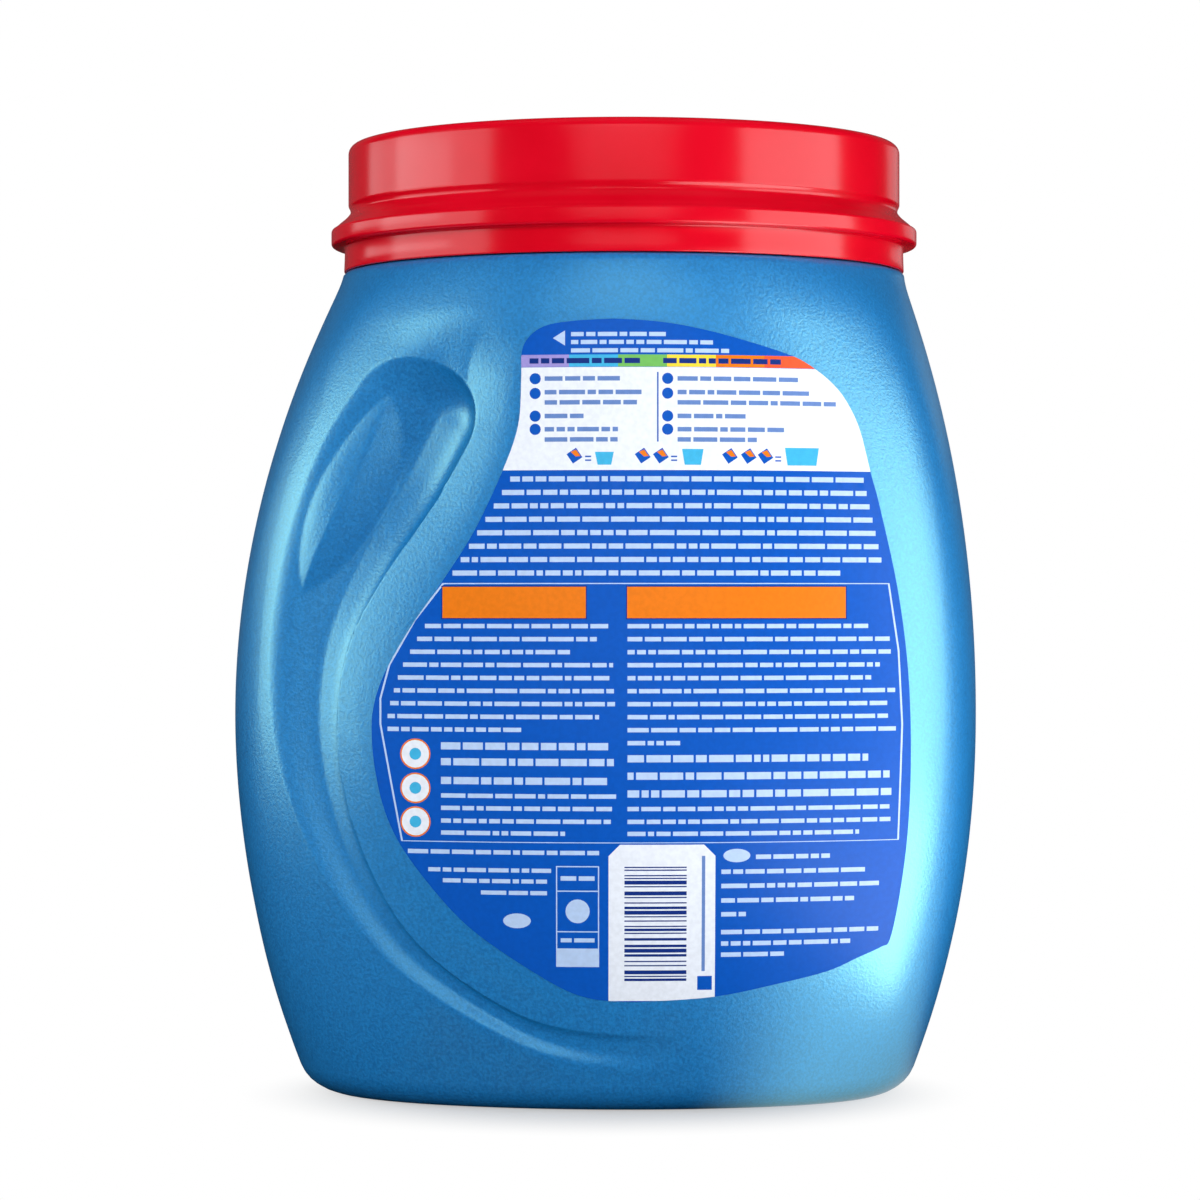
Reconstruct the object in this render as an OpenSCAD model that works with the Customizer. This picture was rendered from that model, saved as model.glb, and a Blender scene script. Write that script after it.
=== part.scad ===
// Laundry pod tub: a blow-moulded tub with a pinch grip, a screw lid and a film label.
// The origin is on the ground under the middle of the body. The labelled face looks along -Y.

/* [Body] */
// Widest part of the body, side to side
body_w = 208.3; // [190:0.1:230]
// Deepest part of the body, face to face
body_d = 162; // [150:0.5:176]
// Height of the widest part above the ground
belly_z = 106; // [90:1:125]
// Radius of the side outline above the belly
upper_radius = 305; // [280:5:400]
// Radius of the side outline below the belly
lower_radius = 286; // [250:2:400]
// Radius of the front outline below the belly
face_radius = 303; // [270:1:450]
// Radius that the faces are curved to in plan, at the belly
plan_face = 178; // [140:1:240]
// The same at the base
plan_face_base = 130; // [110:1:180]
// Radius that the sides are curved to in plan, at the belly
plan_side = 200; // [140:1:260]
// The same at the base
plan_side_base = 147; // [110:1:200]
// Run of the soft corner between face and side, at the belly
corner = 20; // [8:1:40]
// The same at the base
corner_base = 31; // [12:1:48]
// Sideways shift of the base against the belly
base_shift = 0.4; // [0:0.1:5]
// Height over which the faces roll in under the lid
face_roll = 18; // [8:1:40]
// Wall of the tub
wall = 1.6; // [1.6:0.1:2.4]

/* [Base] */
// Rounding of the bottom edge
base_round = 7; // [4:0.5:10]
// Width of the flat ring that the tub stands on
foot_w = 8; // [4:0.5:14]
// Run of the slope from the ring to the raised middle
push_run = 7; // [4:0.5:12]
// Height of the raised middle of the base
push_up = 3.5; // [1:0.5:8]

/* [Shoulder and neck] */
// Sideways place of the neck's axis
neck_x = 5.2; // [-8:0.1:8]
// Height of the ledge that the lid seats on
shoulder_z = 229.7; // [215:0.1:245]
// Reach of that ledge beyond the lid's collar
ledge_out = 0.1; // [0:0.1:3]
// Outer radius of the neck
neck_r = 73.2; // [68:0.1:78]
// Wall of the neck
neck_wall = 2; // [1.4:0.1:3]
// Rounding of the neck's rim
rim_round = 0.8; // [0.3:0.1:0.9]

/* [Grip and channel] */
// Depth of the grip pocket
grip_depth = 13; // [6:0.5:16]
// Depth of the channel half way down
channel_depth = 6; // [2:0.5:9]
// Depth of the channel where it turns under the label
tail_depth = 2.2; // [0.5:0.1:4]
// Height of the leaf-shaped rib in the pocket
rib_height = 4.5; // [0.5:0.1:6]
// Half width of that rib
rib_half = 6.5; // [4:0.5:8]

/* [Lid] */
// Height of the lid
lid_h = 35.9; // [30:0.1:44]
// Reach of the flange beyond the band at the top of the lid
flange_out = 4.8; // [3.5:0.1:8]
// Reach of the collar under the flange beyond that band
collar_out = 1; // [0.6:0.1:2]
// Height of the flange's lower edge above the collar's foot
flange_low = 7.2; // [5:0.1:9]
// Height of the flange's outer face
flange_face = 5; // [3:0.1:7]
// Depth of the groove between the flange and the band
waist_depth = 0.6; // [0.2:0.1:0.9]
// Height of the shoulder between the flange and the groove
lid_slope = 4.6; // [3:0.1:6]
// Rounding of the lid's top rim
top_round = 2.4; // [1:0.1:3]
// Depth of the shallow recess in the lid's top
top_recess = 1.2; // [0.4:0.1:2.5]
// Width of the rim round that recess
top_rim_w = 6; // [4:0.5:12]
// Thickness of the lid's top
lid_top_t = 1.8; // [1.2:0.1:2.6]
// Thickness of the lid's skirt
lid_wall = 1.8; // [1.2:0.1:2.4]
// Depth that the sealing ring reaches into the mouth
seal_depth = 4; // [2:0.5:8]
// Thickness of the sealing ring
seal_t = 1.2; // [0.8:0.1:2]

/* [Label] */
// Thickness of the label film
label_t = 0.2; // [0.1:0.05:0.5]
// Height of the label's lower edge
label_low = 30.8; // [28:0.2:40]
// Height of the label's upper edge
label_high = 211.9; // [200:0.1:212]
// Width of the label
label_w = 144.3; // [130:0.1:146]

/* [Fits] */
// Gap between the lid's foot and the ledge
seat_gap = 0.3; // [0.2:0.1:0.8]
// Gap between the neck and the lid's skirt, where the thread runs
skirt_gap = 2.9; // [1.5:0.1:4]
// Gap between the neck's rim and the underside of the lid's top
rim_gap = 0.4; // [0.3:0.1:1]
// Gap between the sealing ring and the bore of the neck
seal_gap = 0.4; // [0.3:0.1:1]
// Gap between the label and the body
label_gap = 0.2; // [0.2:0.05:0.4]

/* [Hidden] */

blue = "steelblue";
red = "crimson";
label_blue = "royalblue";

// Mesh density: columns round the body and steps along the channel
side_columns = 10;
plain_columns = 8;
grip_columns = 16;
far_columns = 8;
channel_steps = 4;
label_columns = 16;
face_steps = 12;

// Lid heights
lid_foot = shoulder_z + seat_gap;
lid_top = lid_foot + lid_h;
lid_ceiling = lid_top - top_recess - lid_top_t;
neck_top = lid_ceiling - rim_gap;
neck_bore = neck_r - neck_wall;

// Lid radii, taken from the neck, and the ledge under the lid
skirt_r = neck_r + skirt_gap;
band_r = skirt_r + lid_wall;
flange_r = band_r + flange_out;
collar_r = band_r + collar_out;
shoulder_r = collar_r + ledge_out;

// Small roundings and steps of the lid
flange_low_round = 0.8;
flange_top_round = 1.2;
slope_turn = 50;
collar_flare = 0.2;
collar_fillet = 0.5;
seal_lead = 1.5;

// Spine of the channel on each face, from the grip pocket down and round under the label:
// [x, z, half width, depth]
spine = [
    [-52, 187, 17, grip_depth - 1],
    [-62, 171, 17.5, grip_depth],
    [-72.4, 151, 14.6, mix(channel_depth, grip_depth, 0.6)],
    [-79.6, 130, 11.3, mix(channel_depth, grip_depth, 0.2)],
    [-81.7, 109.7, 9.5, channel_depth],
    [-79.2, 89.5, 8, mix(tail_depth, channel_depth, 0.75)],
    [-70.5, 66, 6.2, mix(tail_depth, channel_depth, 0.4)],
    [-54.3, 43, 4.6, mix(tail_depth, channel_depth, 0.15)],
    [-29, 25.7, 3.7, tail_depth],
    [-8, 18.3, 4.4, tail_depth * 0.7],
    [22, 16, 5, 0]
];

// Ends of the leaf-shaped rib on the outer wall of the pocket: [x, z]
rib_top = [-61.5, 192.5];
rib_foot = [-84.5, 140.5];

// Sharpness of the channel's inner edge, as the power of its wall curve
edge_power = 2.4;
// The same of its outer slope, and how much of that slope is crisp
crest_power = 1.6;
crest_share = 0.35;
// Fullness of the rib's leaf outline, as a power of a half sine
leaf_power = 0.7;

// How the body's section changes with height
shoulder_ease = 1.5;
shoulder_lip = 0.3;
base_shift_run = 60;
neck_shift_power = 1.8;

function mix(a, b, t) = a + (b - a) * t;
function clamp(t) = max(0, min(1, t));
function smooth(t) = let (u = clamp(t)) u * u * (3 - 2 * u);
function soft_max(a, b, k) = (a + b + sqrt((a - b) ^ 2 + k * k)) / 2;
function arc_drop(radius, run) = radius - sqrt(radius ^ 2 - run ^ 2);
function arc_points(cx, cz, r, from, to, steps) =
    [for (i = [0:steps]) let (a = mix(from, to, i / steps)) [cx + r * cos(a), cz + r * sin(a)]];

// Section of the body at height z: half width, half depth and sideways place
function rise(z) = clamp((z - belly_z) / (shoulder_z - belly_z));
function half_w(z) =
    soft_max(body_w / 2 - arc_drop(z > belly_z ? upper_radius : lower_radius, z - belly_z),
             shoulder_r - shoulder_lip, shoulder_ease);
function half_d(z) = z > belly_z
    ? body_d / 2 - (body_d / 2 - shoulder_r) * clamp((z - shoulder_z + face_roll) / face_roll) ^ 2
    : body_d / 2 - arc_drop(face_radius, z - belly_z);
function centre_x(z) = z > belly_z
    ? neck_x * rise(z) ^ neck_shift_power
    : base_shift * smooth((belly_z - z) / base_shift_run);

// A size of the section at height z, from its values at the base, the belly and the shoulder
function between(z, base, belly, top) = z > belly_z
    ? mix(belly, top, rise(z) ^ neck_shift_power)
    : mix(belly, base, clamp((belly_z - z) / belly_z) ^ 2);

// Distance from the section's centre to a disc of radius r about c, in the direction phi
function disc(phi, c, r) =
    let (along = c * [cos(phi), sin(phi)])
    along + sqrt(max(along ^ 2 - c * c + r ^ 2, 0));

// Distance from the section's centre to its edge, in the direction phi: front and back are arcs
// about the neck's middle plane, the sides are arcs about the section's own, and the corners
// between them are soft
function edge_r(phi, z, inset) =
    let (a = half_w(z),
         b = half_d(z),
         face_arc = between(z, plan_face_base, plan_face, b),
         side_arc = between(z, plan_side_base, plan_side, a),
         soft = max(between(z, corner_base, corner, 0), 0.001),
         face = disc(phi, [neck_x - centre_x(z), sign(sin(phi)) * (b - face_arc)], face_arc - inset),
         side = disc(phi, [sign(cos(phi)) * (a - side_arc), 0], side_arc - inset),
         near = max(soft - abs(face - side), 0) / soft)
    min(face, side) - near ^ 3 * soft / 6;

// Plain front face of the body at [x, z], pushed out by out. Each step looks at the face in
// the direction of the last one's place.
function face_step(x, z, y, steps) = steps == 0
    ? y
    : let (phi = atan2(y, x - centre_x(z))) face_step(x, z, edge_r(phi, z, 0) * sin(phi), steps - 1);
function face_y(x, z, out) = face_step(x, z, -half_d(z), face_steps) - out;

// Catmull-Rom curve through the spine's stations
function spline(p0, p1, p2, p3, t) =
    (2 * p1 + (p2 - p0) * t + (2 * p0 - 5 * p1 + 4 * p2 - p3) * t ^ 2
     + (3 * p1 - p0 - 3 * p2 + p3) * t ^ 3) / 2;
last = len(spine) - 1;
channel = concat(
    [for (i = [0:last - 1]) for (k = [0:channel_steps - 1])
        spline(spine[max(i - 1, 0)], spine[i], spine[i + 1], spine[min(i + 2, last)],
               k / channel_steps)],
    [spine[last]]);

// Nearest place on the channel's segment i: [distance, side, half width, depth]
function on_segment(p, i) =
    let (a = channel[i], b = channel[i + 1],
         run = [b.x - a.x, b.y - a.y],
         t = clamp(((p - [a.x, a.y]) * run) / (run * run)),
         q = mix(a, b, t),
         off = p - [q.x, q.y],
         d = norm(off))
    [d, d < 0.001 ? 0 : (run.x * off.y - run.y * off.x) / (norm(run) * d), q[2], q[3]];
function nearest(p) =
    let (gaps = [for (c = channel) norm(p - [c.x, c.y])],
         i = search(min(gaps), gaps)[0],
         before = on_segment(p, max(i - 1, 0)),
         after = on_segment(p, min(i, len(channel) - 2)))
    before[0] < after[0] ? before : after;

// Depth of the channel at [x, z]: an outer slope that starts at a faint crest, and a crisp
// inner wall.
// grow widens it, so that the inner skin keeps its distance.
function channel_depth_at(p, grow) =
    let (n = nearest(p),
         q = clamp(n[0] / (n[2] + grow)),
         inner = smooth((1 + n[1]) / 2),
         slope = mix(1 - smooth(q), 1 - q ^ crest_power, crest_share))
    n[3] * mix(slope, 1 - q ^ edge_power, inner);

// Height of the leaf-shaped rib at [x, z]
function rib_at(p) =
    let (run = rib_foot - rib_top,
         t = ((p - rib_top) * run) / (run * run),
         off = (run.x * (p.y - rib_top.y) - run.y * (p.x - rib_top.x)) / norm(run),
         leaf = t > 0 && t < 1 ? sin(180 * t) ^ leaf_power : 0)
    leaf <= 0 ? 0 : rib_height * leaf * clamp(1 - abs(off) / (rib_half * leaf));

function relief(p, grow) =
    p.x > spine[last].x + spine[last][2] || p.y > spine[0].y + 2 * spine[0][2]
    ? 0
    : let (d = channel_depth_at(p, grow)) d - min(d, rib_at(p));

// Point of the body in the direction phi, at height z, drawn in by inset
function body_point(phi, z, inset, grow) =
    let (r = edge_r(phi, z, inset),
         x = centre_x(z) + r * cos(phi),
         deep = relief([x, z], grow))
    [centre_x(z) + (r - deep) * cos(phi), (r - deep) * sin(phi), z];
function neck_point(phi, z, r) = [neck_x + r * cos(phi), r * sin(phi), z];

// Strip of each face that holds the channel at height z, where the columns lie closest: [z, x]
strip_left = [
    [0, -60], [18, -59], [26, -60], [33, -63], [43.5, -70], [66.5, -83], [90, -92],
    [110, -95], [130, -94], [151, -92], [171, -87], [190, -77], [230, -74]
];
strip_right = [
    [0, 30], [18, 28], [26, -6], [33, -25], [43.5, -42], [66.5, -58], [90, -65],
    [110, -67], [130, -63], [151, -53], [171, -39], [190, -32], [207, -28], [230, -20]
];
// Direction of the front face's point at x, as an angle from 180 to 360
function direction_of(x, z) = 360 + atan2(face_y(x, z, 0), x - centre_x(z));

// Directions round the body at height z. The back is the front's mirror image.
function fan(from, to, steps) = [for (i = [0:steps - 1]) mix(from, to, i / steps)];
side_turn = 40;
function directions(z) =
    let (reach = 0.96 * half_w(z),
         left = direction_of(max(lookup(z, strip_left), -reach), z),
         right = direction_of(lookup(z, strip_right), z))
    concat(
        fan(-side_turn, side_turn, side_columns),
        fan(side_turn, 360 - right, plain_columns),
        fan(360 - right, 360 - left, grip_columns),
        fan(360 - left, left, far_columns),
        fan(left, right, grip_columns),
        fan(right, 360 - side_turn, plain_columns));
function every(step, items) = [for (i = [0:step:len(items) - 1]) items[i]];

// Row heights: close together where the channel lies across the face and at the pocket's arch
tail_z = spine[7].y + 6.5;
arch_low = spine[0].y - 2;
arch_high = spine[0].y + spine[0][2] + 3;
function climb(from, to, steps) = [for (i = [1:steps]) mix(from, to, i / steps)];
function row_heights(top) = concat(
    climb(base_round, tail_z, 15), climb(tail_z, arch_low, 15),
    climb(arch_low, arch_high, 6), climb(arch_high, top, 3));

// Rows of a skin that lies t inside the outer face
function base_rows(t) =
    let (r = base_round - t)
    concat(
        [[push_up + t, base_round + foot_w + push_run], [t, base_round + foot_w]],
        [for (a = [0:30:90]) [t + r * (1 - cos(a)), t + r * (1 - sin(a))]]);
function body_skin(t, top, step) =
    [for (row = concat(base_rows(t), [for (z = row_heights(top)) [z, t]]))
        [for (phi = every(step, directions(row[0]))) body_point(phi, row[0], row[1], t)]];
function neck_skin(rows) =
    [for (row = rows) [for (phi = directions(shoulder_z)) neck_point(phi, row[1], row[0])]];

// Faces between two rings of points, and from a ring to a single point
function band(first, n, rows) =
    [for (r = [0:rows - 2]) for (i = [0:n - 1])
        let (a = first + r * n + i, b = first + r * n + (i + 1) % n)
        each [[a, b, b + n], [a, b + n, a + n]]];
function cap(first, n, tip) = [for (i = [0:n - 1]) [first + (i + 1) % n, first + i, tip]];
function flip(faces) = [for (f = faces) [f[2], f[1], f[0]]];
// Faces between two rings that are stored apart
function bridge(from, to, n) =
    [for (i = [0:n - 1]) let (k = (i + 1) % n)
        each [[from + i, from + k, to + k], [from + i, to + k, to + i]]];
// The same, where the first ring has two segments for each one of the second
function half_bridge(from, to, n) =
    [for (i = [0:n - 1])
        let (a = from + 2 * i, b = from + (2 * i + 2) % (2 * n), j = to + (i + 1) % n)
        each [[a, a + 1, to + i], [a + 1, j, to + i], [a + 1, b, j]]];

// Tub: outer skin, neck, rim, bore and inner skin as one closed moulding
module tub() {
    ledge_in = shoulder_z - wall;
    outer = concat(
        body_skin(0, shoulder_z, 1),
        neck_skin([[neck_r, shoulder_z]]),
        neck_skin(arc_points(neck_r - rim_round, neck_top - rim_round, rim_round, 0, 90, 2)));
    bore = concat(
        neck_skin([[neck_bore, ledge_in]]),
        neck_skin(arc_points(neck_bore + rim_round, neck_top - rim_round, rim_round, 180, 90, 2)));
    inner = body_skin(wall, ledge_in - wall, 2);
    n = len(outer[0]);
    m = len(inner[0]);
    outer_points = [for (ring = outer) each ring];
    bore_points = [for (ring = bore) each ring];
    inner_points = [for (ring = inner) each ring];
    first_bore = len(outer_points);
    first_inner = first_bore + len(bore_points);
    tip = first_inner + len(inner_points);
    points = concat(
        outer_points, bore_points, inner_points,
        [[centre_x(0), 0, push_up], [centre_x(0), 0, push_up + wall]]);
    faces = concat(
        band(0, n, len(outer)),
        cap(0, n, tip),
        bridge(first_bore - n, first_inner - n, n),
        flip(band(first_bore, n, len(bore))),
        half_bridge(first_bore, tip - m, m),
        flip(band(first_inner, m, len(inner))),
        flip(cap(first_inner, m, tip + 1)));
    color(blue) polyhedron(points = points, faces = flip(faces), convexity = 8);
}

// Lid: one turned profile with a hollow underside and a sealing ring
module lid() {
    flange_z = lid_foot + flange_low;
    waist_z = flange_z + flange_face + lid_slope;
    waist_r = band_r - waist_depth;
    band_foot = waist_z + 2 * waist_depth;
    outside = concat(
        [[collar_r + collar_flare, lid_foot], [collar_r, flange_z - 2 * collar_fillet],
         [collar_r + collar_fillet, flange_z]],
        arc_points(flange_r - flange_low_round, flange_z + flange_low_round, flange_low_round,
                   -90, 0, 3),
        arc_points(flange_r - flange_top_round, flange_z + flange_face - flange_top_round,
                   flange_top_round, 0, slope_turn, 3),
        [[waist_r, waist_z], [waist_r, waist_z + waist_depth], [band_r, band_foot]],
        arc_points(band_r - top_round, lid_top - top_round, top_round, 0, 90, 5),
        [[band_r - top_rim_w, lid_top], [band_r - top_rim_w - top_recess, lid_top - top_recess],
         [0, lid_top - top_recess]]);
    seal_r = neck_bore - seal_gap;
    step_z = flange_z + flange_face;
    inside = [
        [0, lid_ceiling],
        [seal_r - seal_t, lid_ceiling],
        [seal_r - seal_t, neck_top - seal_depth],
        [seal_r - seal_lead / 3, neck_top - seal_depth],
        [seal_r, neck_top - seal_depth + seal_lead],
        [seal_r, lid_ceiling],
        [skirt_r, lid_ceiling],
        [skirt_r, step_z + flange_top_round],
        [skirt_r + collar_out, step_z],
        [skirt_r + collar_out + collar_flare, lid_foot]
    ];
    color(red) translate([neck_x, 0, 0]) rotate_extrude($fn = 180)
        polygon(concat(outside, inside));
}

// Label outline at height z: [left x, right x]. The left edge follows the channel.
label_left = [
    [30.8, 5], [31.6, -4], [35, -13], [44.7, -28.6], [52.6, -38.7], [62.6, -47.7],
    [72.5, -54.9], [81.6, -59.1], [91.6, -61.5], [100.7, -62.5], [108.8, -62.1],
    [117.8, -59.2], [130, -52.3], [143, -43.2], [156, -34.9], [172, -27.3], [184, -23.2],
    [196, -22.4], [203, -22.3], [207, -20.6], [210, -16.5], [211.3, -10], [211.9, 0]
];
label_right = [
    [30.8, 10], [32, 29], [35, 45], [38.2, 59.2], [41.7, 67.7], [44.4, 74.2], [46.3, 76.5],
    [57.7, 78.9], [74.7, 81], [94.8, 81.8], [117.9, 81.1], [140, 78.3], [162, 73.5],
    [172, 70.8], [183, 68], [190, 64.8], [195, 61], [199.7, 55.1], [203, 48.5], [207.5, 33],
    [210, 22], [211.3, 13], [211.9, 4]
];

// Label: a film that follows the front face just above it
module label_back() {
    span = label_high - label_low;
    drawn = label_left[len(label_left) - 1][0] - label_left[0][0];
    widen = label_w / (max([for (p = label_right) p[1]]) - min([for (p = label_left) p[1]]));
    heights = concat(
        [for (f = [0, 0.004, 0.012, 0.023, 0.042, 0.062]) label_low + f * span],
        [for (i = [1:18]) mix(label_low + 0.062 * span, label_low + 0.93 * span, i / 18)],
        [for (f = [0.95, 0.973, 0.989, 0.996, 1]) label_low + f * span]);
    columns = label_columns + 1;
    skin = [for (out = [label_gap, label_gap + label_t]) for (z = heights)
        let (drawn_z = label_left[0][0] + (z - label_low) * drawn / span,
             left = widen * lookup(drawn_z, label_left),
             right = widen * lookup(drawn_z, label_right))
        for (i = [0:label_columns])
            let (x = mix(left, right, i / label_columns)) [x, face_y(x, z, out), z]];
    rows = len(heights);
    outer = rows * columns;
    sheet = [for (r = [0:rows - 2]) for (i = [0:label_columns - 1])
        let (a = r * columns + i, b = a + columns)
        each [[a, a + 1, b + 1], [a, b + 1, b]]];
    edge = concat(
        [for (i = [0:label_columns - 1]) i],
        [for (r = [0:rows - 2]) r * columns + label_columns],
        [for (i = [label_columns:-1:1]) (rows - 1) * columns + i],
        [for (r = [rows - 1:-1:1]) r * columns]);
    sides = [for (i = [0:len(edge) - 1])
        let (a = edge[i], b = edge[(i + 1) % len(edge)])
        each [[b, a, a + outer], [b, a + outer, b + outer]]];
    faces = concat(sheet, [for (f = sheet) [f[2] + outer, f[1] + outer, f[0] + outer]], sides);
    color(label_blue) polyhedron(points = skin, faces = faces, convexity = 4);
}

tub();
lid();
label_back();
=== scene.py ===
import math
import random

import bpy
import numpy as np
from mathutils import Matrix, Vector
from mathutils.geometry import delaunay_2d_cdt


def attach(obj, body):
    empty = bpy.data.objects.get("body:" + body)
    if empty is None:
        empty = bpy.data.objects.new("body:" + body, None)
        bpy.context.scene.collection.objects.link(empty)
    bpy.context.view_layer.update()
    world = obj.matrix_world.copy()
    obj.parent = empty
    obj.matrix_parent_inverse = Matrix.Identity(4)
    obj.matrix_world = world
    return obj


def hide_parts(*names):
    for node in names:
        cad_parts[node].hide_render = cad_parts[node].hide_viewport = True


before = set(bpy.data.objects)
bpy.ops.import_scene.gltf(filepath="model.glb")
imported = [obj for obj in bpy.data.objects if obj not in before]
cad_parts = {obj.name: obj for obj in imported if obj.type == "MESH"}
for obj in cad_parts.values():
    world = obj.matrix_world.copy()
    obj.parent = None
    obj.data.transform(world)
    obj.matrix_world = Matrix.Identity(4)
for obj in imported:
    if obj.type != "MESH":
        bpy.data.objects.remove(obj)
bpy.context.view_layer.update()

MM = 0.001

# Sizes, in mm, as in the solids
BODY_W, BODY_D, BELLY_Z = 208.3, 162.0, 106.0
UPPER_RADIUS, LOWER_RADIUS, FACE_RADIUS = 305.0, 286.0, 303.0
PLAN_FACE, PLAN_FACE_BASE, PLAN_SIDE, PLAN_SIDE_BASE = 178.0, 130.0, 200.0, 147.0
CORNER, CORNER_BASE, BASE_SHIFT, FACE_ROLL = 20.0, 31.0, 0.4, 18.0
WALL = 1.6
BASE_ROUND, FOOT_W, PUSH_RUN, PUSH_UP = 7.0, 8.0, 7.0, 3.5
NECK_X, SHOULDER_Z, SHOULDER_R = 5.2, 229.7, 79.0
SHOULDER_STEP, SHOULDER_BLEND = 0.3, 1.5    # how the side runs into the shoulder's round
TURN_POWER, SHIFT_RUN = 1.8, 60.0           # how fast the section changes over the height
LEDGE_ROUND = 0.8
NECK_R, NECK_BORE, RIM_ROUND, NECK_TOP = 73.2, 71.2, 0.8, 262.5
GRIP, CHANNEL, TAIL = 13.0, 6.0, 2.2
RIB_HEIGHT, RIB_HALF = 4.5, 6.5
LIP_SLOPE, LIP_REACH, LIP_ROUND = 0.24, 16.0, 2.0
LIP_FOOT, LIP_FOOT_RUN, LIP_HEAD, LIP_HEAD_RUN = 45.0, 30.0, 216.0, 22.0
LIP_LOW_SHARE, LIP_LOW, LIP_LOW_RUN = 0.35, 135.0, 40.0
LIP_WIDTHS = 2.6                            # where the fall ends, in half widths of the channel
EDGE_POWER, LEAF_POWER, CREST_POWER, CREST_SHARE = 4.0, 0.7, 1.6, 0.35
LID_FOOT, LID_TOP, LID_CEILING = 230.0, 265.9, 262.9
BAND_R, FLANGE_R, COLLAR_R, SKIRT_R = 77.9, 82.7, 78.9, 76.1
SEAL_R, SEAL_T, SEAL_HEIGHT = 70.8, 1.2, 4.0
CROWN_STEP, CROWN_RIM, CROWN_ROUND = 1.2, 6.0, 2.6
THREAD_PITCH, THREAD_TURNS = 6.5, 2.0
NECK_RIDGE_HALF, NECK_RIDGE, NECK_THREAD_START = 1.7, 1.25, 0.6
LID_RIDGE_HALF, LID_RIDGE, LID_THREAD_START = 1.5, 1.3, 3.2
FACE_STEPS = 12
FILM_UNDER, FILM_OVER = 0.05, 0.2           # the film's two faces, off the body


def mix(a, b, t):
    return a + (b - a) * t


def smooth(t):
    t = np.clip(t, 0, 1)
    return t * t * (3 - 2 * t)


def arc_drop(radius, run):
    return radius - np.sqrt(np.maximum(radius ** 2 - run ** 2, 0))


def half_w(z):
    side = BODY_W / 2 - arc_drop(np.where(z > BELLY_Z, UPPER_RADIUS, LOWER_RADIUS), z - BELLY_Z)
    lip_w = SHOULDER_R - SHOULDER_STEP
    return (side + lip_w + np.sqrt((side - lip_w) ** 2 + SHOULDER_BLEND ** 2)) / 2


def rise(z):
    return np.clip((z - BELLY_Z) / (SHOULDER_Z - BELLY_Z), 0, 1)


def half_d(z):
    roll = np.clip((z - SHOULDER_Z + FACE_ROLL) / FACE_ROLL, 0, 1) ** 2
    return np.where(z > BELLY_Z, BODY_D / 2 - (BODY_D / 2 - SHOULDER_R) * roll,
                    BODY_D / 2 - arc_drop(FACE_RADIUS, np.minimum(z, BELLY_Z) - BELLY_Z))


def centre_x(z):
    return np.where(z > BELLY_Z, NECK_X * rise(z) ** TURN_POWER,
                    BASE_SHIFT * smooth((BELLY_Z - z) / SHIFT_RUN))


def between(z, base, belly, top):
    """A size of the section at height z, from its values at the base, the belly and the shoulder."""
    return np.where(z > BELLY_Z, mix(belly, top, rise(z) ** TURN_POWER),
                    mix(belly, base, np.clip((BELLY_Z - z) / BELLY_Z, 0, 1) ** 2))


def disc(phi, x, y, r):
    along = np.cos(phi) * x + np.sin(phi) * y
    return along + np.sqrt(np.maximum(along ** 2 - x ** 2 - y ** 2 + r ** 2, 0))


def edge_r(phi, z, inset=0.0):
    """Distance from the section's centre to its edge: arcs for faces and sides, soft corners."""
    a, b = half_w(z), half_d(z)
    face_arc = between(z, PLAN_FACE_BASE, PLAN_FACE, b)
    side_arc = between(z, PLAN_SIDE_BASE, PLAN_SIDE, a)
    soft = np.maximum(between(z, CORNER_BASE, CORNER, 0.0), 0.001)
    face = disc(phi, NECK_X - centre_x(z), np.sign(np.sin(phi)) * (b - face_arc), face_arc - inset)
    side = disc(phi, np.sign(np.cos(phi)) * (a - side_arc), 0.0, side_arc - inset)
    near = np.maximum(soft - np.abs(face - side), 0) / soft
    return np.minimum(face, side) - near ** 3 * soft / 6


def face_y(x, z, out=0.0):
    """Plain front face of the body at x, z, pushed out by out."""
    y = -half_d(z) + 0.0 * x
    for _ in range(FACE_STEPS):
        phi = np.arctan2(y, x - centre_x(z))
        y = edge_r(phi, z) * np.sin(phi)
    return y - out


# Grip, channel and rib
# The channel's middle line from the pocket to its tail, as (x, z, half width, depth).
SPINE = np.array([
    (-52, 187, 17, GRIP - 1), (-62, 171, 17.5, GRIP),
    (-72.4, 151, 14.6, mix(CHANNEL, GRIP, 0.6)), (-79.6, 130, 11.3, mix(CHANNEL, GRIP, 0.2)),
    (-81.7, 109.7, 9.5, CHANNEL), (-79.2, 89.5, 8, mix(TAIL, CHANNEL, 0.75)),
    (-70.5, 66, 6.2, mix(TAIL, CHANNEL, 0.4)), (-54.3, 43, 4.6, mix(TAIL, CHANNEL, 0.15)),
    (-29, 25.7, 3.7, TAIL), (-8, 18.3, 4.4, TAIL * 0.7), (22, 16, 5, 0)], float)
RIB_TOP, RIB_FOOT = np.array((-61.5, 192.5)), np.array((-84.5, 140.5))


def spline(points, steps, closed=False):
    """Catmull-Rom curve through the points."""
    points = np.asarray(points, float)
    n = len(points)
    out = []
    for i in range(n if closed else n - 1):
        if closed:
            p0, p1, p2, p3 = (points[(i + k) % n] for k in (-1, 0, 1, 2))
        else:
            p0, p1, p2, p3 = (points[min(max(i + k, 0), n - 1)] for k in (-1, 0, 1, 2))
        for k in range(steps):
            t = k / steps
            out.append((2 * p1 + (p2 - p0) * t + (2 * p0 - 5 * p1 + 4 * p2 - p3) * t ** 2
                        + (3 * p1 - p0 - 3 * p2 + p3) * t ** 3) / 2)
    if not closed:
        out.append(points[-1])
    return np.array(out)


LINE = spline(SPINE, 24)


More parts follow.
